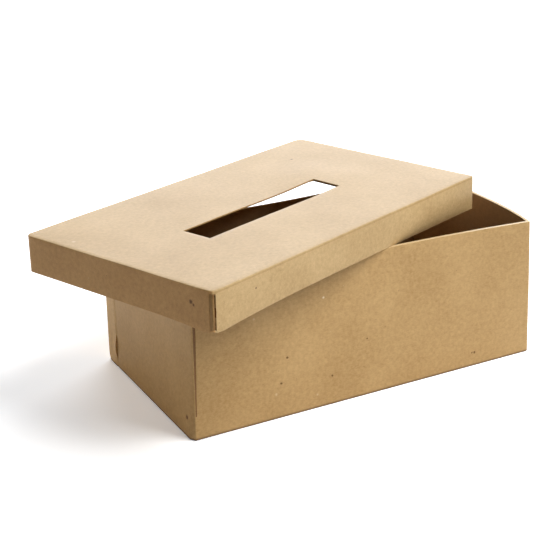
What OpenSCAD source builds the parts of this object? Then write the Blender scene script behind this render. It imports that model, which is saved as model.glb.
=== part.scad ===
// Tissue box of card wrapped in brown kraft paper: an open tray and a loose lid with a long slot.
// The lid lies askew across the tray's top edge, as it is left when the box is half open.

/* [Tray] */
// Outside length of the tray
tray_length = 250; // [180:1:320]
// Outside width of the tray
tray_width = 135; // [100:1:180]
// Height of the tray
tray_height = 94; // [60:1:140]
// Roundness of the tray's upright corners
tray_corner_r = 1.6; // [0.8:0.1:4]
// How far the front wall draws in at the middle of its top edge
front_draw = 7; // [0:0.5:12]
// How far the back wall draws in at the middle of its top edge
back_draw = 13; // [0:0.5:16]
// How far the long walls pull the right-hand corners in at the top
corner_draw = 3.5; // [0:0.5:6]
// How much higher the right-hand end stands at the middle of its top edge
end_crown = 1.8; // [0:0.1:4]

/* [Lid] */
// Room at each end between the tray and the inside of the lid's rim
lid_room_ends = 3.2; // [1:0.1:6]
// Room at the front and at the back between the tray and the inside of the lid's rim
lid_room_sides = 4.6; // [1:0.1:7]
// Depth of the lid from its top to the lower edge of its rim
lid_depth = 23; // [12:0.5:45]
// Roundness of the lid's upright corners
lid_corner_r = 2.2; // [0.8:0.1:5]
// How far the long rims draw in at the middle of their lower edge
rim_draw = 2; // [0:0.25:3]
// Length of the slot that the tissues come out of
slot_length = 126; // [80:1:150]
// Width of that slot
slot_width = 20.5; // [10:0.5:40]
// Shift of the slot from the lid's middle, along the lid
slot_shift_x = -6; // [-10:0.5:10]
// Shift of the slot from the lid's middle, across the lid
slot_shift_y = -6; // [-10:0.5:10]

/* [Resting place of the lid] */
// Turn of the lid on the tray, anticlockwise from above, in degrees
lid_turn = 21.6; // [5:0.1:30]
// Shift of the lid's middle along the tray
lid_shift_x = -43; // [-60:0.5:0]
// Shift of the lid's middle across the tray
lid_shift_y = -4.7; // [-15:0.1:10]

/* [Card and cover paper] */
// Thickness of the walls and rims, card with the paper turned over both faces
wall = 2.2; // [1.5:0.1:3.5]
// Thickness of the tray's bottom and of the lid's top
panel = 1.8; // [1:0.1:3]
// Thickness of the cover paper
paper = 0.4; // [0.2:0.05:0.8]
// Roundness of the folded edges, as far as the wall's thickness allows it
fold_r = 0.7; // [0.3:0.1:1.2]
// Width of the back wall's paper where it laps round onto the left end
lap_width = 12; // [6:0.5:25]
// Distance of the tray's open paper seam from the round of its front left corner
seam_place = 0.5; // [0.2:0.1:4]
// Width of that seam where it gapes most, at the top
seam_width = 1; // [0.4:0.1:1.2]
// Depth of that seam where it gapes most, at the top
seam_depth = 0.6; // [0.2:0.1:1]
// Height above the tray's foot where that seam has closed
seam_foot = 16; // [5:1:40]
// Width of bare card that the lid's paper leaves on the end rim beside its front left corner
bare_end = 0.8; // [0.2:0.1:6]
// Width of bare card that the lid's paper leaves on the front rim beside that corner
bare_front = 0.3; // [0.2:0.1:6]

/* [Hidden] */
kraft = "#b8986a";
kraft_pale = "#c9ad80";

// Steps along a long side, along a short side, round a corner and round a folded edge
long_steps = 10;
short_steps = 6;
corner_steps = 4;
fold_steps = 3;

// Inside corners are folded sharp, with only the roundness of the doubled paper
inside_r = 2 * paper;
// Share of the wall's thickness that one folded edge may take up
edge_share = 1 / 3;
edge_r = min(fold_r, edge_share * wall);
// Cuts run past the faces they open by this much
overrun = 2 * panel;

lid_length = tray_length + 2 * (lid_room_ends + wall);
lid_width = tray_width + 2 * (lid_room_sides + wall);

// Points strictly between two ends of a straight side
function along(from, to, steps) = [for (i = [1 : steps - 1]) from + (to - from) * i / steps];

// Points of an upright corner's quarter round, ends included, starting from an angle
function round_corner(middle, r, start) =
    [for (i = [0 : corner_steps])
        let (turn = start + 90 * i / corner_steps)
        middle + r * [cos(turn), sin(turn)]];

// Radius that a corner keeps at a distance inside the outer face
function inner_radius(r, inset) = max(r - inset, inside_r);

// Wall section from the outer foot over the free edge to the inner face, as pairs of the distance inside
// the outer face and the height, with further stops on the way up the outer face
function wall_section(height, stops) =
    let (turns = [for (i = [0 : fold_steps]) 90 * i / fold_steps])
    concat(
        [for (turn = turns) edge_r * [1 - sin(turn), 1 - cos(turn)]],
        [for (stop = stops) [0, stop]],
        [for (turn = turns) [edge_r * (1 - cos(turn)), height - edge_r * (1 - sin(turn))]],
        [for (turn = turns) [wall - edge_r * (1 - sin(turn)), height - edge_r * (1 - cos(turn))]],
        [[wall, panel]]);

// Cover paper shows on the outer face and over the free edge, and not on the inner face
function papered(inset) = inset <= edge_r ? 1 : 0;

// Outline of the tray at one place of its wall section: the lap stands proud on the left end near the
// back corner, and the open seam is a notch in the front wall near the left corner
function tray_outline(inset, height) =
    let (
        x = tray_length / 2 - inset,
        y = tray_width / 2 - inset,
        r = inner_radius(tray_corner_r, inset),
        lap = papered(inset) * paper,
        lap_edge = tray_width / 2 - lap_width,
        gape = papered(inset) * max(height - seam_foot, 0) / (tray_height - seam_foot),
        seam_start = [tray_corner_r + seam_place - x, -y],
        seam_end = seam_start + [seam_width, 0],
        front_right = [x - r, -y],
        right_back = [x, y - r],
        back_left = [r - x, y],
        left_front = [-x, r - y])
    concat(
        [seam_start, (seam_start + seam_end) / 2 + [0, seam_depth * gape], seam_end],
        along(seam_end, front_right, long_steps),
        round_corner([x - r, r - y], r, -90),
        along([x, r - y], right_back, short_steps),
        round_corner([x - r, y - r], r, 0),
        along([x - r, y], back_left, long_steps),
        [for (i = [0 : corner_steps]) round_corner([r - x, y - r], r, 90)[i] - [lap * i / corner_steps, 0]],
        [[-x - lap, lap_edge + paper], [-x, lap_edge]],
        along([-x, lap_edge], left_front, short_steps),
        round_corner([r - x, r - y], r, 180));

// The long walls draw in towards mid-length as they rise, and pull the right-hand corners with them, and
// the right-hand end stands higher between the two long walls
function draw_tray(p) =
    let (
        along_share = 2 * p.x / tray_length,
        across_share = 2 * p.y / tray_width,
        rise_share = p.z / tray_height,
        right_share = max(along_share, 0),
        between_share = min(abs(p.y) / (tray_width / 2 - wall), 1),
        draw = p.y < 0 ? front_draw : -back_draw)
    p + rise_share * [
        -corner_draw * right_share * across_share ^ 2,
        draw * (1 - along_share ^ 2),
        end_crown * right_share ^ 4 * (1 - between_share ^ 4)];

// Outline of the lid at one place of its wall section: the paper stops short on both sides of the
// front left corner, and the bare card there lies a paper's thickness lower
function lid_outline(inset) =
    let (
        x = lid_length / 2 - inset,
        y = lid_width / 2 - inset,
        r = inner_radius(lid_corner_r, inset),
        bare = papered(inset) * paper,
        end_y = lid_corner_r + bare_end - y,
        front_x = lid_corner_r + bare_front - x)
    concat(
        [[front_x, bare - y], [front_x + paper, -y]],
        along([front_x + paper, -y], [x - r, -y], long_steps),
        round_corner([x - r, r - y], r, -90),
        along([x, r - y], [x, y - r], short_steps),
        round_corner([x - r, y - r], r, 0),
        along([x - r, y], [r - x, y], long_steps),
        round_corner([r - x, y - r], r, 90),
        along([-x, y - r], [-x, end_y + paper], short_steps),
        [[-x, end_y + paper], [bare - x, end_y]],
        round_corner([r - x, r - y], r - bare, 180));

// The long rims draw in at the middle of their free edge
function draw_lid(p) =
    let (along_share = 2 * p.x / lid_length)
    p - [0, sign(p.y) * rim_draw * (1 - along_share ^ 2) * p.z / lid_depth, 0];

// Closed skin through a list of outlines that all have the same number of points, with a flat cap of
// triangles about its middle on the first and on the last
module loft(outlines) {
    count = len(outlines[0]);
    last = len(outlines) - 1;
    first_middle = (last + 1) * count;
    points = concat(
        [for (outline = outlines) each outline],
        [[0, 0, outlines[0][0].z], [0, 0, outlines[last][0].z]]);
    strips = [for (k = [0 : last - 1], i = [0 : count - 1])
        let (a = k * count + i, b = k * count + (i + 1) % count)
        each [[a, a + count, b + count], [a, b + count, b]]];
    caps = [for (i = [0 : count - 1])
        let (next = (i + 1) % count)
        each [[first_middle, i, next], [first_middle + 1, last * count + next, last * count + i]]];
    polyhedron(points, concat(strips, caps));
}

// Open tray: bottom and four walls folded up from one card, wrapped in one sheet of paper
module tray() {
    color(kraft)
        loft([for (place = wall_section(tray_height, [seam_foot]))
            [for (q = tray_outline(place[0], place[1])) draw_tray([q.x, q.y, place[1]])]]);
}

// The lid in its own frame, with its top at zero and its rim standing up from it
module lid_inverted() {
    difference() {
        loft([for (place = wall_section(lid_depth, []))
            [for (q = lid_outline(place[0])) draw_lid([q.x, q.y, place[1]])]]);
        translate([slot_shift_x - slot_length / 2, slot_shift_y - slot_width / 2, -overrun])
            cube([slot_length, slot_width, panel + 2 * overrun]);
    }
}

// Lid: top and four rims folded down from one card, wrapped in paper, with the slot cut through
module lid() {
    color(kraft_pale)
        translate([lid_shift_x, lid_shift_y, tray_height + lid_depth])
            rotate([0, 0, lid_turn])
                mirror([0, 0, 1])
                    lid_inverted();
}

tray();
lid();
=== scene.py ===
import math

import bmesh
import bpy
from mathutils import Matrix, Vector, noise


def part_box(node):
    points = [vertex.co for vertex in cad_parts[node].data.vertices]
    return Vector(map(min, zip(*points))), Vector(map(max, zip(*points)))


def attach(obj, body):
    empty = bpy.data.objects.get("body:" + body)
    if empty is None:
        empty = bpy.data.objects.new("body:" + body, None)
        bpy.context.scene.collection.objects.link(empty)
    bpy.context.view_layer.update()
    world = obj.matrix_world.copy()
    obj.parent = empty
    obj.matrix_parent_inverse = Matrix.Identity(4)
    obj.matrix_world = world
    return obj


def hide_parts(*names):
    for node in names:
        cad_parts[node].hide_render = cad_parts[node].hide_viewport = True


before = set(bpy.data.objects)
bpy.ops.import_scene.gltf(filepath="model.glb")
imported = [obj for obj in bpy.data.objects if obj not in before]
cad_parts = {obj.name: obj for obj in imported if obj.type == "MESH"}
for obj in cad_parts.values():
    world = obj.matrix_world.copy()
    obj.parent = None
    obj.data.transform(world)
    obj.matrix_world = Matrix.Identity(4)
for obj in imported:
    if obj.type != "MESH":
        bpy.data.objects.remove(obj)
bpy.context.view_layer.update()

# Tray: bottom and four walls folded up from one sheet of pulp board, about 2 mm thick, and wrapped in one
# sheet of kraft paper that is glued on. The long walls draw in at the top, the paper gapes along the front
# left corner, and its end is pasted down as a lap on the left end, by the back corner.
mm = 0.001
_, tray_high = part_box("tray")
lid_low, lid_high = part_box("lid")
tray_length = 2 * tray_high.x
tray_width = 2 * tray_high.y
tray_height = lid_low.z

# Board, paper and folds
wall = 2.2 * mm
panel = 1.8 * mm
paper = 0.25 * mm
fold_r = 0.7 * mm
foot_r = 1.0 * mm
tray_corner_r = 1.4 * mm
seam_corner_r = 0.5 * mm
inside_r = 0.8 * mm
fold_segments = 3
corner_segments = 4
fine_segments = 2
crease = math.radians(38)

# Distances between the cuts at which a wall bends, and their distance from its edges
bend_step = 5 * mm
rise_step = 4 * mm
edge_clear = 4 * mm
beside = 3.5 * mm

# How far the walls lean at the top, how much higher the right end stands, and how far the feet stand out
front_draw = 7 * mm
back_draw = 13 * mm
corner_draw = 3.5 * mm
end_crown = 2.0 * mm
foot_spread = 1.1 * mm
foot_push = 2.4 * mm
push_height = 40 * mm
push_start = 3.5 * mm
push_reach = 12 * mm

# Lap of the paper, and the slit where its edge has come unstuck
lap_width = 16 * mm
lap_slope = 1.2 * mm
lap_step = 2 * mm
lap_before = 2 * mm
lap_after = 3 * mm
slit_low = 6 * mm
slit_high = 24 * mm
slit_lift = 1.4 * mm
slit_reach = 7 * mm
slit_lip = 0.1 * mm
slit_in = 0.6 * mm
slit_depth = 3.5 * mm
# Least part of Y in the direction that the faces of the lap's lifted edge look in
edge_turn_share = 0.8

# Open seam of the paper, which closes towards its foot
seam_place = 0.1 * mm
seam_width = 2.2 * mm
seam_depth = 0.35 * mm
seam_lip = 0.15 * mm
seam_foot = 16 * mm
seam_closing_share = 0.6

# Knocked corner at the back left foot
knock_size = 5 * mm
knock_depth = 0.8 * mm

# Slow and quick waves of the board
slow_length = 70 * mm
slow_size = 0.45 * mm
quick_length = 24 * mm
quick_size = 0.14 * mm
wave_rise = 25 * mm
lip_calm_share = 0.6

# Room for rounding: points this close are one, lie on one face, or lie on one side of a cut or of a wall
merge_gap = mm / 1000
face_slack = mm / 100
cut_slack = mm / 20
side_slack = mm / 10
# Depth within which a face is taken to be on an outer side
skin = 1 * mm


def near(a, b):
    """True where two lengths agree to a hundredth of a millimetre."""
    return abs(a - b) < face_slack


def share(value, start, end):
    """How far a value has come on the way from start to end, from 0 to 1."""
    return min(max((value - start) / (end - start), 0), 1)


def edges_at(shape, test):
    """Edges of a mesh whose two ends both pass a test of their place."""
    return [edge for edge in shape.edges if all(test(vert.co) for vert in edge.verts)]


def free_edges(shape, height, outside):
    """Outer and then inner edges of a lip at one height, without those across it."""
    outer = edges_at(shape, lambda co: near(co.z, height) and outside(co))
    inner = edges_at(shape, lambda co: near(co.z, height) and not outside(co))
    return outer + inner


def upright_corners(shape, length, width):
    """Upright edges of a mesh at the four corners of a rectangle about the origin."""
    at_corner = edges_at(shape, lambda co: near(abs(co.x), length / 2) and near(abs(co.y), width / 2))
    return [edge for edge in at_corner if not near(edge.verts[0].co.z, edge.verts[1].co.z)]


def at_corner_of(edges, side_x, side_y):
    """Those of some edges that start in one quarter about the origin, given by the signs of X and Y."""
    return [edge for edge in edges if edge.verts[0].co.x * side_x > 0 and edge.verts[0].co.y * side_y > 0]


def round_off(shape, edges, radius, segments):
    """Rounds some edges of a mesh."""
    bmesh.ops.bevel(shape, geom=edges, offset=radius, offset_type="OFFSET", affect="EDGES",
                    segments=segments, profile=0.5, material=-1, clamp_overlap=True)


def block(shape, length, width, height, middle_z):
    """Starts a mesh as a block about the Z axis."""
    place = Matrix.Translation((0, 0, middle_z)) @ Matrix.Diagonal((length, width, height, 1))
    bmesh.ops.create_cube(shape, size=1, matrix=place)


def hollow_out(shape, face, rim, depth):
    """Leaves a rim round one face of a mesh, and pushes the rest of that face in along Z."""
    bmesh.ops.inset_region(shape, faces=[face], thickness=rim, use_even_offset=True)
    pushed = bmesh.ops.extrude_discrete_faces(shape, faces=[face])["faces"][0]
    bmesh.ops.translate(shape, verts=pushed.verts, vec=(0, 0, depth))


def cut_across(shape, axis, places, test=None):
    """Cuts a mesh across one axis at some places, so that it can bend or step there. The cuts go through
    every face, or through those whose middle passes a test."""
    normal = Vector([float(i == axis) for i in range(3)])
    for place in places:
        faces = [face for face in shape.faces if test is None or test(face.calc_center_median())]
        # Each edge and point once, in the order of the faces
        edges = dict.fromkeys(edge for face in faces for edge in face.edges)
        verts = dict.fromkeys(vert for face in faces for vert in face.verts)
        bmesh.ops.bisect_plane(shape, geom=[*verts, *edges, *faces], dist=merge_gap,
                               plane_co=place * normal, plane_no=normal)


def even_places(first, last, step):
    """Places from first to last, evenly spaced at about one step."""
    count = round((last - first) / step)
    return [first + (last - first) * i / count for i in range(count + 1)]


# Without a seed of its own, the noise would differ from run to run
noise.seed_set(1)


def buckle(place, height):
    """Slow sideways waves of the board: none at a height of zero, full from wave_rise up."""
    slow = noise.noise_vector(place / slow_length) * slow_size
    quick = noise.noise_vector(place / quick_length) * quick_size
    waves = (slow + quick) * share(height, 0, wave_rise)
    return Vector((waves.x, waves.y, 0))


def make_piece(name, shape, materials):
    """Turns a finished mesh into a smooth-shaded piece in the scene, with its creases kept sharp."""
    bmesh.ops.dissolve_degenerate(shape, edges=shape.edges, dist=merge_gap)
    bmesh.ops.recalc_face_normals(shape, faces=shape.faces)
    data = bpy.data.meshes.new(name)
    shape.to_mesh(data)
    shape.free()
    data.shade_smooth()
    data.set_sharp_from_angle(angle=crease)
    for material in materials:
        data.materials.append(material)
    piece = bpy.data.objects.new(name, data)
    bpy.context.scene.collection.objects.link(piece)
    return piece


tray_shape = bmesh.new()
block(tray_shape, tray_length, tray_width, tray_height, tray_height / 2)
mouth = max(tray_shape.faces, key=lambda face: face.calc_center_median().z)
hollow_out(tray_shape, mouth, wall, panel - tray_height)


def outside_tray(co):
    """True on the tray's outer faces and on the outer edge of its lip."""
    inner = Vector((tray_length / 2 - wall, tray_width / 2 - wall))
    return abs(co.x) > inner.x + side_slack or abs(co.y) > inner.y + side_slack


# The corner with the seam is folded sharper than the other three
seam_corner = at_corner_of(upright_corners(tray_shape, tray_length, tray_width), -1, -1)
round_off(tray_shape, seam_corner, seam_corner_r, fold_segments)
round_off(tray_shape, upright_corners(tray_shape, tray_length, tray_width), tray_corner_r, corner_segments)
inside_corners = upright_corners(tray_shape, tray_length - 2 * wall, tray_width - 2 * wall)
round_off(tray_shape, inside_corners, inside_r, fine_segments)
round_off(tray_shape, free_edges(tray_shape, tray_height, outside_tray), fold_r, fold_segments)
round_off(tray_shape, edges_at(tray_shape, lambda co: near(co.z, 0)), foot_r, fold_segments)

# Bends, with closer cuts beside the corners, along the lap and on both sides of the seam
lap_edge = tray_width / 2 - lap_width
seam_start = seam_corner_r - tray_length / 2 + seam_place
seam_end = seam_start + seam_width
cut_across(tray_shape, 0, even_places(beside - tray_length / 2, tray_length / 2 - beside, bend_step))
cut_across(tray_shape, 1, even_places(beside - tray_width / 2, lap_edge - lap_before, bend_step))
cut_across(tray_shape, 1, [lap_edge, lap_edge + cut_slack, lap_edge + lap_slope])
cut_across(tray_shape, 1, even_places(lap_edge + lap_after, tray_width / 2 - beside, lap_step))
cut_across(tray_shape, 2, even_places(edge_clear, tray_height - beside, rise_step))
cut_across(tray_shape, 0, [seam_start, seam_start + seam_lip, seam_end - seam_lip, seam_end],
           lambda co: co.y < skin - tray_width / 2 and co.x < beside - tray_length / 2)


def fold_tray(co):
    """Place on the finished tray of a place on its straight-walled form."""
    lap = 0
    if co.x < tray_corner_r - tray_length / 2 and co.y > lap_edge + cut_slack / 2:
        off_round = share(co.y, tray_width / 2, tray_width / 2 - tray_corner_r)
        lap = paper * off_round * share(co.y, lap_edge, lap_edge + lap_slope)
        unstuck = math.sin(math.pi * share(co.z, slit_low, slit_high))
        lap += slit_lift * unstuck * share(co.y, lap_edge + slit_reach, lap_edge) ** 2
    gape = 0
    narrow = 0
    if co.y < face_slack - tray_width / 2:
        open_share = share(co.z, seam_foot, tray_height)
        if seam_start + cut_slack < co.x < seam_end - cut_slack:
            gape = seam_depth * open_share
        if seam_end - seam_lip - cut_slack < co.x < seam_end + cut_slack:
            narrow = seam_closing_share * seam_width * (1 - open_share)
    along = 2 * co.x / tray_length
    across = 2 * co.y / tray_width
    rise = co.z / tray_height
    draw = front_draw if co.y < 0 else -back_draw
    right = max(along, 0)
    crown = end_crown * right ** 4 * (1 - share(abs(co.y), 0, tray_width / 2 - wall) ** 4)
    pull = Vector((-corner_draw * right * across ** 2, draw * (1 - along ** 2), crown))
    # The feet of both ends stand out a little, the left one most beside the front corner
    off_front = co.y + tray_width / 2
    push = foot_push * share(co.x + tray_length / 2, push_reach, 0) * share(co.z, push_height, 0) ** 2
    push *= share(off_front, 0, push_start) * (1 - off_front / tray_width)
    stand = Vector((foot_spread * right ** 4 * (1 - rise) - push, 0, 0))
    off_knock = co - Vector((-tray_length / 2, tray_width / 2, 0))
    knocked = share(off_knock.length, knock_size, 0) ** 2
    knock = knocked * Vector((knock_depth, -knock_depth, knock_depth / 2))
    waves = buckle(co, co.z) * (1 - lip_calm_share * rise)
    return co + Vector((-lap - narrow, gape, 0)) + rise * pull + waves + stand + knock


# Papers on the tray's faces, in the order in which its piece lists them after the plain sheet: the inside
# is lined and painted a shade darker for shade, the seam shows the paper's glued edge, painted darker for
# the shade in it, the lip is painted paler as a highlight, and the lap is painted a shade paler for light
lining_face, glued_and_shaded_face, lip_face, lap_face = range(1, 5)
for face in tray_shape.faces:
    middle = face.calc_center_median()
    if not outside_tray(middle) and middle.z < tray_height - 2 * fold_r:
        face.material_index = lining_face
    elif near(middle.y, -tray_width / 2) and seam_start < middle.x < seam_end and middle.z > seam_foot:
        face.material_index = glued_and_shaded_face
    elif middle.z > tray_height - fold_r / 3:
        face.material_index = lip_face
    elif middle.x < face_slack - tray_length / 2 and middle.y > lap_edge:
        face.material_index = lap_face
for vert in tray_shape.verts:
    vert.co = fold_tray(vert.co)

# The lap's edge has come unstuck low down: a narrow pocket opens under it there
slit = []
for face in tray_shape.faces:
    middle = face.calc_center_median()
    if (abs(middle.y - lap_edge) < skin and slit_low < middle.z < slit_high
            and middle.x < -tray_length / 2 and abs(face.normal.y) > edge_turn_share):
        slit.append(face)
bmesh.ops.inset_region(tray_shape, faces=slit, thickness=slit_lip, use_even_offset=True)
pocket = bmesh.ops.extrude_face_region(tray_shape, geom=slit)["geom"]
pocket_verts = [part for part in pocket if isinstance(part, bmesh.types.BMVert)]
# The pocket's faces take the dark glued paper, which is also painted shade inside the pocket
for vert in pocket_verts:
    for face in vert.link_faces:
        face.material_index = glued_and_shaded_face
bmesh.ops.translate(tray_shape, vec=(slit_in, slit_depth, 0), verts=pocket_verts)
bmesh.ops.delete(tray_shape, geom=slit, context="FACES_ONLY")


def linear(colour):
    """A written sRGB colour as linear values with full alpha."""
    values = [int(colour[i:i + 2], 16) / 255 for i in (1, 3, 5)]
    return [v / 12.92 if v <= 0.04045 else ((v + 0.055) / 1.055) ** 2.4 for v in values] + [1]


def add(tree, kind, inputs, **settings):
    """Adds a shader node with its settings. Each input is set to a value or fed by another's output."""
    node = tree.nodes.new("ShaderNode" + kind)
    for name, value in settings.items():
        setattr(node, name, value)
    for socket, value in inputs.items():
        if isinstance(value, bpy.types.NodeSocket):
            tree.links.new(value, node.inputs[socket])
        else:
            node.inputs[socket].default_value = value
    return node


# Unbleached kraft paper, machine made and unsized: matt and slightly hairy, in a warm light brown with soft
# clouds, a fine mottled grain and a few dark specks of bark. It shines a little only at a low angle.
cloud_size = 40 * mm
cloud_share = 0.7
grain_size = 2.4 * mm
# Fibres are about 0.03 mm thick and 2 mm long, drawn fifteen times as thick so that they show
fibre_size = 0.5 * mm
fibre_slimness = 0.25
fibre_turn = (0.4, 0.3, 0.5)
fibre_share = 0.6
relief_depth = 0.12 * mm
# Shives, dark bark and pale wood, about a millimetre long: spacing, size, strength and colour. They lie in
# some of the cells that the sheet passes through, and this share of the cells has none.
shives = ((5.5 * mm, 0.45 * mm, 0.6, "#8a6540"), (9 * mm, 0.6 * mm, 0.3, "#e0c79c"))
bare_cell_share = 0.7
# Painted shade along the foot of the walls, where they meet the floor: its colour and its strength
foot_shade_tone = "#5f4125"
foot_shade_strength = 0.8


def kraft_paper(name, dark_tone, pale_tone, specks=(), shaded_foot_heights=None):
    """Kraft paper between two tones. Single specks are given as a place, a size, a strength and a colour,
    and painted shade along the foot as the two heights where it starts to fade and has faded out."""
    material = bpy.data.materials.new(name)
    material.use_nodes = True
    tree = material.node_tree
    shader = tree.nodes["Principled BSDF"]
    place = add(tree, "TexCoord", {}).outputs["Object"]
    cloud = add(tree, "TexNoise", {"Vector": place, "Scale": 1 / cloud_size, "Detail": 2})
    grain = add(tree, "TexNoise", {"Vector": place, "Scale": 1 / grain_size, "Detail": 3, "Roughness": 0.65})
    stretch = add(tree, "Mapping", {"Vector": place, "Scale": (fibre_slimness, 1, 1),
                                    "Rotation": fibre_turn})
    fibre = add(tree, "TexNoise", {"Vector": stretch.outputs[0], "Scale": 1 / fibre_size, "Detail": 2})
    soft = add(tree, "Math", {0: cloud.outputs[0], 1: cloud_share, 2: grain.outputs[0]},
               operation="MULTIPLY_ADD")
    mixed = add(tree, "Math", {0: fibre.outputs[0], 1: fibre_share, 2: soft.outputs[0]},
                operation="MULTIPLY_ADD")
    tone = add(tree, "MapRange", {"Value": mixed.outputs[0], "From Min": 0.75, "From Max": 1.55})
    colour = add(tree, "Mix", {0: tone.outputs[0], 6: linear(dark_tone), 7: linear(pale_tone)},
                 data_type="RGBA").outputs[2]
    for spacing, size, strength, shade in shives:
        cells = add(tree, "TexVoronoi", {"Vector": place, "Scale": 1 / spacing})
        chance = add(tree, "SeparateColor", {0: cells.outputs["Color"]})
        chosen = add(tree, "Math", {0: chance.outputs[0], 1: bare_cell_share}, operation="GREATER_THAN")
        dot = add(tree, "MapRange", {"Value": cells.outputs["Distance"], "From Min": size / 2 / spacing,
                                     "From Max": size / spacing, "To Min": strength, "To Max": 0})
        cover = add(tree, "Math", {0: dot.outputs[0], 1: chosen.outputs[0]}, operation="MULTIPLY")
        colour = add(tree, "Mix", {0: cover.outputs[0], 6: colour, 7: linear(shade)},
                     data_type="RGBA").outputs[2]
    for middle, size, strength, shade in specks:
        away = add(tree, "VectorMath", {0: place, 1: middle}, operation="DISTANCE")
        ragged = add(tree, "Math", {0: fibre.outputs[0], 1: size, 2: away.outputs["Value"]},
                     operation="MULTIPLY_ADD")
        dot = add(tree, "MapRange", {"Value": ragged.outputs[0], "From Min": 0.9 * size,
                                     "From Max": 1.4 * size, "To Min": strength, "To Max": 0})
        colour = add(tree, "Mix", {0: dot.outputs[0], 6: colour, 7: linear(shade)},
                     data_type="RGBA").outputs[2]
    # Painted shade along the foot: full up to the first height, faded out by the second
    if shaded_foot_heights:
        height = add(tree, "SeparateXYZ", {0: place})
        foot_shade_mask = add(tree, "MapRange", {"Value": height.outputs["Z"], "From Min": shaded_foot_heights[0],
                                      "From Max": shaded_foot_heights[1], "To Min": foot_shade_strength, "To Max": 0})
        colour = add(tree, "Mix", {0: foot_shade_mask.outputs[0], 6: colour, 7: linear(foot_shade_tone)},
                     data_type="RGBA").outputs[2]
    relief = add(tree, "Math", {0: grain.outputs[0], 1: fibre.outputs[0]}, operation="ADD")
    bump = add(tree, "Bump", {"Height": relief.outputs[0], "Strength": 0.25, "Distance": relief_depth})
    rough = add(tree, "MapRange", {"Value": grain.outputs[0], "To Min": 0.38, "To Max": 0.54})
    tree.links.new(colour, shader.inputs["Base Color"])
    tree.links.new(bump.outputs[0], shader.inputs["Normal"])
    tree.links.new(rough.outputs[0], shader.inputs["Roughness"])
    shader.inputs["IOR"].default_value = 1.5
    shader.inputs["Specular IOR Level"].default_value = 0.25
    return material


# Specks that stand out on the tray, as a place along and up the front wall and a size in millimetres, with
# a strength and a colour, and one on the left end
dark_speck = (0.85, "#5c3c1a")
pale_speck = (0.35, "#efdcb6")
bright_speck = (0.75, "#f4e4c4")
front_specks = [
    (-60.8, 38.6, 1.1, dark_speck), (-29.3, 19.1, 1.1, dark_speck), (-65.7, 22.7, 1.1, dark_speck),
    (-2.7, 37.7, 0.9, dark_speck), (80.6, 9.3, 1.2, dark_speck), (78.6, 9.6, 0.9, dark_speck),
    (-33.7, 71.3, 1.0, bright_speck), (-69.5, 16.4, 1.2, pale_speck), (-40.6, 9.1, 1.0, pale_speck),
    (-83.2, 68.5, 1.0, pale_speck),
]
end_speck_place = Vector((-tray_length / 2, -58.7 * mm, 12.3 * mm))
end_speck_size = 2 * mm
tray_specks = [(fold_tray(Vector((x * mm, -tray_width / 2, z * mm))), size * mm, *look)
               for x, z, size, look in front_specks]
tray_specks.append((fold_tray(end_speck_place), end_speck_size, *dark_speck))
# Heights between which the painted shade along the foot of the tray's walls fades out
painted_foot_shade = (0.6 * mm, 1.8 * mm)
tray_paper = kraft_paper("kraft_paper_on_tray", "#b18c58", "#d1ad77", tray_specks, painted_foot_shade)
# The paper lining inside is painted a shade darker, for the shade inside the tray and the lid
lining = kraft_paper("kraft_paper_lining_painted_shade", "#a3835d", "#b99870")
# Dark edge of glue-soaked paper, in the open seam, under the lap and in the gaps at the lid's corner; its
# dark tone is also painted shade, which falls in these narrow gaps
glued_edge_and_gap_shade = kraft_paper("glue_soaked_paper_and_painted_shade", "#7d5a34", "#956f42")
# The lap is painted a shade paler than the sheet under it, for the light that falls on the back of the end
lap_paper_painted_light = kraft_paper("kraft_paper_lap_painted_light", "#bb9561", "#dcb880", shaded_foot_heights=painted_foot_shade)
# The lip's paper is painted pale, a highlight for the light on its top
lip_paper_painted_highlight = kraft_paper("kraft_paper_lip_painted_highlight", "#d2b380", "#e8d0a4")
tray = make_piece("tray_shell", tray_shape, [tray_paper, lining, glued_edge_and_gap_shade, lip_paper_painted_highlight, lap_paper_painted_light])
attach(tray, "tray")
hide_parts("tray")

# Lid: top and four rims folded down from the same board and wrapped in the same paper, with the slot cut
# through both. It only rests on the tray's lip, askew. Its paper stops short at the front left corner.
lid_room_ends = 3.2 * mm
lid_room_sides = 4.6 * mm
lid_depth = lid_high.z - lid_low.z
lid_length = tray_length + 2 * (lid_room_ends + wall)
lid_width = tray_width + 2 * (lid_room_sides + wall)
lid_shift_x = -43 * mm
lid_shift_y = -4.7 * mm
lid_turn = math.radians(21.6)
lid_place = Matrix.Translation((lid_shift_x, lid_shift_y, lid_high.z)) @ Matrix.Rotation(lid_turn, 4, "Z")

# Corners, folds and the line scored along the long folds
lid_corner_r = 2.2 * mm
back_corner_r = 6 * mm
left_corner_r = 3.8 * mm
bare_corner_r = 0.6 * mm
lid_fold_r = 1.3 * mm
score_width = 0.25 * mm
score_start_share = 0.5
rim_start_share = 0.2

# Slot, and the board that is thinner along it
slot_length = 126 * mm
slot_width = 21.2 * mm
slot_middle = Vector((-6, -6.35, 0)) * mm
slot_edge_r = 0.2 * mm
slot_thinning = 0.9 * mm
thinning_width = 4 * mm
right_thinning_share = 0.3

# Bare corner, and the gaps between its card and the paper
end_gap_start = 2.4 * mm
end_gap_width = 0.5 * mm
end_gap_depth = 0.35 * mm
front_gap_start = 0.9 * mm
front_gap_width = 1.5 * mm
front_gap_depth = 1.0 * mm
gap_lip = 0.12 * mm
bare_top = 2.2 * mm
bare_foot = 1.2 * mm
rubbed_size = 8 * mm
rubbed_depth = 1.5 * mm
rubbed_way = Vector((1, 1, -0.2))
blunted_way = Vector((0.6, 0.6, 1.2))

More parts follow.
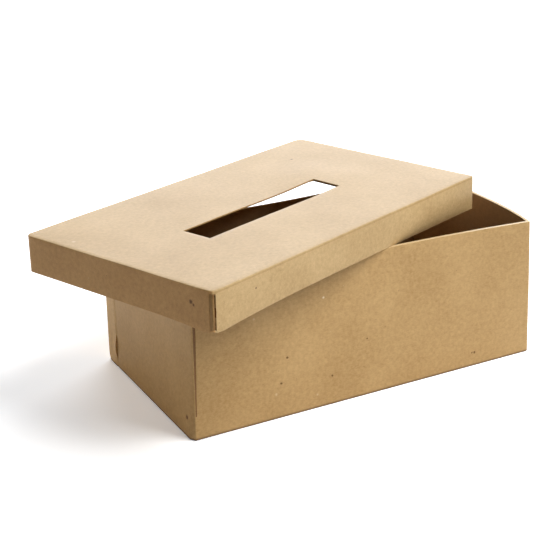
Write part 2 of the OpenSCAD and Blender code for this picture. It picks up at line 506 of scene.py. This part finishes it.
# Warp of the top and of the rims
lid_sag = 0.3 * mm
sag_length = 60 * mm
lid_wave_share = 0.7
rim_draw = 1.2 * mm
droop = 2.3 * mm
droop_front = 75 * mm
droop_end = 50 * mm
tilt = 1.3 * mm
swell = 0.8 * mm
swell_size = 45 * mm
swell_middle = Vector((62, 8, 0)) * mm
flare = 1.2 * mm
belly = 1.7 * mm
belly_start = 35 * mm
belly_full = 50 * mm
belly_fade = 25 * mm

lid_shape = bmesh.new()
block(lid_shape, lid_length, lid_width, lid_depth, -lid_depth / 2)
underside = min(lid_shape.faces, key=lambda face: face.calc_center_median().z)
hollow_out(lid_shape, underside, wall, lid_depth - panel)


def outside_lid(co):
    """True on the lid's outer faces and on the outer edge of its rim."""
    inner = Vector((lid_length / 2 - wall, lid_width / 2 - wall))
    return abs(co.x) > inner.x + side_slack or abs(co.y) > inner.y + side_slack


def in_slot(co):
    """True inside the slot's outline and on it."""
    return (abs(co.x - slot_middle.x) < slot_length / 2 + face_slack
            and abs(co.y - slot_middle.y) < slot_width / 2 + face_slack)


# Papers on the lid's faces, in the order in which its piece lists them after the plain sheet and the lining
board_face, score_face, rim_face, gap_face = range(2, 6)

# The slot comes first: the top is cut on four lines, its middle is taken out and the cut is walled
cut_across(lid_shape, 0, [slot_middle.x - slot_length / 2, slot_middle.x + slot_length / 2])
cut_across(lid_shape, 1, [slot_middle.y - slot_width / 2, slot_middle.y + slot_width / 2])
punched = [face for face in lid_shape.faces if in_slot(face.calc_center_median())]
bmesh.ops.delete(lid_shape, geom=punched, context="FACES")
slot_rim = [edge for edge in lid_shape.edges if edge.is_boundary]
for face in bmesh.ops.bridge_loops(lid_shape, edges=slot_rim)["faces"]:
    face.material_index = board_face
round_off(lid_shape, slot_rim, slot_edge_r, fine_segments)

# The two back corners are rounder than the front ones
corners = {(-1, -1): bare_corner_r, (1, -1): lid_corner_r, (1, 1): back_corner_r, (-1, 1): left_corner_r}
for sides, radius in corners.items():
    for inset, corner_r in ((0, radius), (wall, max(radius - wall, inside_r))):
        uprights = upright_corners(lid_shape, lid_length - 2 * inset, lid_width - 2 * inset)
        round_off(lid_shape, at_corner_of(uprights, *sides), corner_r, corner_segments)
round_off(lid_shape, free_edges(lid_shape, -lid_depth, outside_lid), fold_r, fold_segments)
top_edges = edges_at(lid_shape, lambda co: near(co.z, 0) and outside_lid(co))
round_off(lid_shape, top_edges, lid_fold_r, fold_segments)

# Bends, with cuts along the score and round the thinner board
cut_across(lid_shape, 0, even_places(beside - lid_length / 2, lid_length / 2 - beside, bend_step))
cut_across(lid_shape, 1, even_places(beside - lid_width / 2, lid_width / 2 - beside, bend_step))
cut_across(lid_shape, 2, even_places(edge_clear - lid_depth, -edge_clear, bend_step))
cut_across(lid_shape, 2, [-lid_fold_r - score_width])
cut_across(lid_shape, 0, [slot_middle.x + side * (slot_length / 2 + thinning_width) for side in (-1, 1)])
cut_across(lid_shape, 1, [slot_middle.y + side * (slot_width / 2 + thinning_width) for side in (-1, 1)])


def at_bare_corner(co):
    """True on the outer faces within a few millimetres of the front left corner."""
    reach = beside + side_slack
    return outside_lid(co) and co.x < reach - lid_length / 2 and co.y < reach - lid_width / 2


def gap_places(start, width):
    """Places of the four cuts that make a gap: its two edges, and its bottom's two edges between them."""
    return [start + step for step in (0, gap_lip, width - gap_lip, width)]


# Closer cuts at the front left corner, on both sides of the gaps beside the bare card and at their ends
end_gap = gap_places(end_gap_start - lid_width / 2, end_gap_width)
front_gap = gap_places(front_gap_start - lid_length / 2, front_gap_width)
gap_foot = bare_foot - lid_depth
cut_across(lid_shape, 1, end_gap, at_bare_corner)
cut_across(lid_shape, 0, front_gap, at_bare_corner)
cut_across(lid_shape, 2, [-bare_top - gap_lip, -bare_top, gap_foot, gap_foot + gap_lip], at_bare_corner)


def fold_lid(co):
    """Place on the finished lid of a place on its straight-walled form, in the lid's own frame."""
    moved = co.copy()
    if gap_foot + cut_slack < co.z < -bare_top - cut_slack and at_bare_corner(co):
        if near(co.x, -lid_length / 2) and end_gap[0] + cut_slack < co.y < end_gap[3] - cut_slack:
            moved.x += end_gap_depth
        elif near(co.y, -lid_width / 2) and front_gap[0] + cut_slack < co.x < front_gap[3] - cut_slack:
            moved.y += front_gap_depth
        elif co.x < front_gap[0] + cut_slack and co.y < end_gap[0] + cut_slack:
            moved += Vector((paper, paper, 0)) / 2
    depth_share = -co.z / lid_depth
    along = 2 * co.x / lid_length
    # The board is thinner along the slot, less so at the slot's right end
    if -panel - side_slack < co.z < -panel / 2:
        off_slot_x = abs(co.x - slot_middle.x) - slot_length / 2
        off_slot_y = abs(co.y - slot_middle.y) - slot_width / 2
        at_right_end = co.x > slot_middle.x + slot_length / 2 - skin
        thinned = slot_thinning * share(max(off_slot_x, off_slot_y, 0), thinning_width, 0)
        moved.z += thinned * (right_thinning_share if at_right_end else 1)
    moved.y -= math.copysign(rim_draw * (1 - along ** 2) * depth_share, co.y)
    moved += buckle(co, lid_depth) * lid_wave_share
    moved.x = max(-lid_length / 2, min(moved.x, lid_length / 2))
    moved.y = max(-lid_width / 2, min(moved.y, lid_width / 2))
    # The front rim bellies out on the right, where it hangs free over the tray's inside
    if -co.y > lid_width / 2 - wall - side_slack:
        bellied = math.sin(math.pi * depth_share) * share(co.x, belly_start, belly_full)
        moved.y -= belly * bellied * share(co.x, lid_length / 2, lid_length / 2 - belly_fade)
    moved.x += flare * depth_share * max(along, 0) ** 8 * max(-2 * co.y / lid_width, 0) ** 4
    # The front left corner is rubbed round at the top and blunt at its foot, and the rims hang lower there
    off_corner = Vector((co.x + lid_length / 2, co.y + lid_width / 2))
    rubbed = share(Vector((*off_corner, co.z)).length, rubbed_size, 0) ** 2
    blunted = share(Vector((*off_corner, co.z + lid_depth)).length, rubbed_size, 0) ** 2
    moved += rubbed_depth * (rubbed * rubbed_way + blunted * blunted_way)
    drooped = max(1 - off_corner.x / droop_front - off_corner.y / droop_end, 0) ** 2
    moved.z -= droop * depth_share * drooped
    # The top has warped: its back right corner stands higher, it swells beside the slot and sags elsewhere
    lifted = tilt * (co.x / lid_length + 0.5) * (co.y / lid_width + 0.5)
    swollen = swell * share((co.xy - swell_middle.xy).length_squared, swell_size ** 2, 0) ** 2
    sag = lid_sag * (0.5 + noise.noise(co / sag_length))
    moved.z += (lifted + swollen - max(sag, 0)) * (1 - depth_share)
    return moved


# Faces of the lid that take painted shade: the lining inside, the score along the long folds and the end
# rims
score_start = -score_start_share * lid_fold_r
score_end = -lid_fold_r - score_width
for face in lid_shape.faces:
    middle = face.calc_center_median()
    if not outside_lid(middle) and 2 * fold_r - lid_depth < middle.z < -panel / 2:
        face.material_index = lining_face
    elif abs(middle.y) > lid_width / 2 - skin and score_end < middle.z < score_start:
        face.material_index = score_face
    elif abs(middle.x) > lid_length / 2 - skin and middle.z < -rim_start_share * lid_fold_r:
        face.material_index = rim_face
for vert in lid_shape.verts:
    vert.co = fold_lid(vert.co)
# The gaps beside the bare card take the dark glued paper, which is also painted shade in the gaps
for face in lid_shape.faces:
    middle = face.calc_center_median()
    if (gap_foot < middle.z < -bare_top and at_bare_corner(middle)
            and middle.x < front_gap[3] and middle.y < end_gap[3]):
        bare = middle.x < front_gap[0] and middle.y < end_gap[0]
        face.material_index = board_face if bare else gap_face
bmesh.ops.transform(lid_shape, matrix=lid_place, verts=lid_shape.verts)

# Specks that stand out on the lid, as a place in its own frame and a size in millimetres
lid_spots = [
    ((-130.4, -58.4, -8.9), 1.7, dark_speck), ((-130.4, -60.2, -10.2), 1.1, dark_speck),
    ((85, 45.5, 0), 1.3, dark_speck), ((-95.2, -74.3, -8.5), 0.9, dark_speck),
    ((-121.4, 42.3, 0), 1.8, pale_speck),
]
lid_specks = [(lid_place @ fold_lid(Vector(spot) * mm), size * mm, *look) for spot, size, look in lid_spots]
# The lid's paper is painted a shade paler than the tray's, for the light on its top and long rims
lid_paper_painted_light = kraft_paper("kraft_paper_on_lid_painted_light", "#b29261", "#d3b584", lid_specks)
# Along the score of the two long folds, the paper is painted a shade browner, for the shade in the crease
score_paper_painted_shade = kraft_paper("kraft_paper_score_painted_shade", "#a68655", "#c4a572")
# The end rims are painted a fuller brown than the top, for the shade on them
end_rim_paper_painted_shade = kraft_paper("kraft_paper_on_end_rims_painted_shade", "#b28550", "#d2a56b", lid_specks)
# Pulp board, cut at the slot and bare at the corner: a darker brown than the paper
pulp_board = kraft_paper("cut_pulp_board", "#94703f", "#b08a56")
lid_papers = [lid_paper_painted_light, lining, pulp_board, score_paper_painted_shade, end_rim_paper_painted_shade, glued_edge_and_gap_shade]
lid = make_piece("lid_shell", lid_shape, lid_papers)
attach(lid, "lid")
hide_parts("lid")

# Floor: a wide sheet of matt white paper that the box stands on. The camera sees it overexposed, so that it
# is plain white wherever the box's soft shadow doesn't fall, and lifted to full white far from the box.
floor_size = 8
floor_white = 0.9
floor_glare = 1.42
floor_lift = 0.18
far_lift = 2
lift_start = 0.45
lift_end = 1.2
floor_shape = bmesh.new()
bmesh.ops.create_grid(floor_shape, x_segments=1, y_segments=1, size=floor_size / 2)
white_sheet = bpy.data.materials.new("matt_white_paper_sheet")
white_sheet.use_nodes = True
tree = white_sheet.node_tree
shader = tree.nodes["Principled BSDF"]
shader.inputs["Roughness"].default_value = 0.9
shader.inputs["Specular IOR Level"].default_value = 0.1
shader.inputs["Emission Color"].default_value = linear("#d2eaff")
seen = add(tree, "LightPath", {}).outputs["Is Camera Ray"]
away = add(tree, "VectorMath", {0: add(tree, "TexCoord", {}).outputs["Object"]}, operation="LENGTH")
far = add(tree, "MapRange", {"Value": away.outputs["Value"], "From Min": lift_start, "From Max": lift_end,
                             "To Min": floor_lift, "To Max": far_lift})
lift = add(tree, "Math", {0: seen, 1: far.outputs[0]}, operation="MULTIPLY")
glare = add(tree, "MapRange", {"Value": seen, "To Min": floor_white, "To Max": floor_glare})
tree.links.new(lift.outputs[0], shader.inputs["Emission Strength"])
tree.links.new(glare.outputs[0], shader.inputs["Base Color"])
floor = make_piece("floor", floor_shape, [white_sheet])

# Light: three soft lamps and a dim white room. The main lamp is high at the front right, one behind the box
# skims its top and is a little cool, and a warmer one close at the back left opens up the shaded end.
# Each has its direction, distance and size in metres, and the level of a white face turned square to it.
lamps = {
    "main_lamp": (Vector((0.52, -0.56, 0.96)), 1.9, 1.2, 1.1, "#ffffff"),
    "skimming_lamp": (Vector((0.6, 0.82, 0.38)), 3, 2.6, 0.92, "#f0f6ff"),
    "filling_lamp": (Vector((-0.5, 1, 0.35)), 1.0, 0.85, 0.66, "#fff3e4"),
}
room_level = 0.02
for name, (way, distance, size, level, colour) in lamps.items():
    lamp_data = bpy.data.lights.new(name, "AREA")
    lamp_data.size = size
    lamp_data.color = linear(colour)[:3]
    lamp_data.energy = level * (math.pi * distance) ** 2
    lamp = bpy.data.objects.new(name, lamp_data)
    turn = way.to_track_quat("Z", "Y").to_matrix().to_4x4()
    lamp.matrix_world = Matrix.Translation(distance * way.normalized()) @ turn
    bpy.context.scene.collection.objects.link(lamp)
room = bpy.data.worlds.new("white_room")
room.use_nodes = True
tree = room.node_tree
path = add(tree, "LightPath", {})
clear = add(tree, "Math", {0: path.outputs["Is Camera Ray"], 1: path.outputs["Is Transmission Ray"]},
            operation="MAXIMUM")
room_light = add(tree, "MapRange", {"Value": clear.outputs[0], "To Min": room_level, "To Max": 1})
tree.links.new(room_light.outputs[0], tree.nodes["Background"].inputs["Strength"])
tree.nodes["Background"].inputs["Color"].default_value = (1, 1, 1, 1)
bpy.context.scene.world = room
bpy.context.scene.view_settings.view_transform = "Standard"

# Camera: the photograph's place and lens, fitted to the box's straight edges. It stands at the front left,
# looks down on the box and is rolled a little.
camera_place = (-0.4057, -0.6795, 0.3683)
camera_turn = math.radians(-28.99)
camera_dip = math.radians(21.61)
camera_roll = math.radians(-0.7)
camera_data = bpy.data.cameras.new("camera")
camera_data.lens = 82.22
camera_data.sensor_width = 36
camera = bpy.data.objects.new("camera", camera_data)
camera.matrix_world = (
    Matrix.Translation(camera_place)
    @ Matrix.Rotation(camera_turn, 4, "Z")
    @ Matrix.Rotation(math.pi / 2 - camera_dip, 4, "X")
    @ Matrix.Rotation(camera_roll, 4, "Z"))
bpy.context.scene.collection.objects.link(camera)
bpy.context.scene.camera = camera
